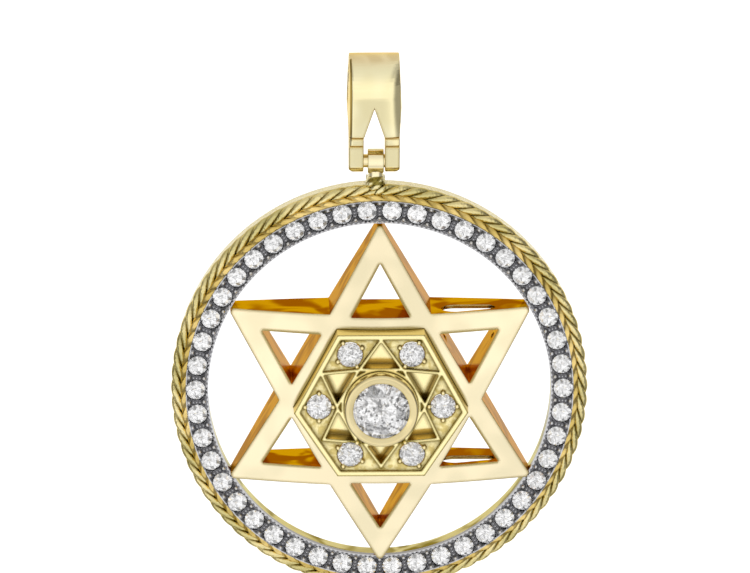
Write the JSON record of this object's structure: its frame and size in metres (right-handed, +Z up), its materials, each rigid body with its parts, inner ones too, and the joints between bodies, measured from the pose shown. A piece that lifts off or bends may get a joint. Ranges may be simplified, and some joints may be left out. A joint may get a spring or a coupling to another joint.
{
  "type": "star of david pendant",
  "caption": "Round pendant with a domed pierced six-pointed star, a raised hexagonal stone cluster, a stone-set halo, a rope border and a hinged bail.",
  "frame": {"origin": "the inside of the bail's top, where a chain bears, on the bail's middle", "axes": "+X to the right as the viewer sees the front, -Y out of the front towards the viewer, +Z up"},
  "size_m": [0.0341, 0.0115, 0.045],
  "materials": {
    "gold": "polished yellow gold",
    "black_rhodium": "dark plated metal, bright on its beads",
    "stone": "clear colourless faceted stone"
  },
  "bodies": {
    "bail": {"bail": "gold", "hinge_pin": "gold"},
    "pendant": {"halo_ring": "gold", "pave_bed": "black_rhodium", "pave_stones": "stone", "rope_border": "gold", "star_frame": "gold", "cluster": "gold", "centre_bezel": "gold", "centre_stone": "stone", "side_stone_1": "stone", "side_stone_2": "stone", "side_stone_3": "stone", "side_stone_4": "stone", "side_stone_5": "stone", "side_stone_6": "stone"}
  },
  "joints": [
    {"name": "pendant_swing", "type": "hinge", "parent": "bail", "child": "pendant", "pos_m": [0, 0, -0.00815], "axis": [1, 0, 0], "range_deg": [-85, 85]}
  ]
}
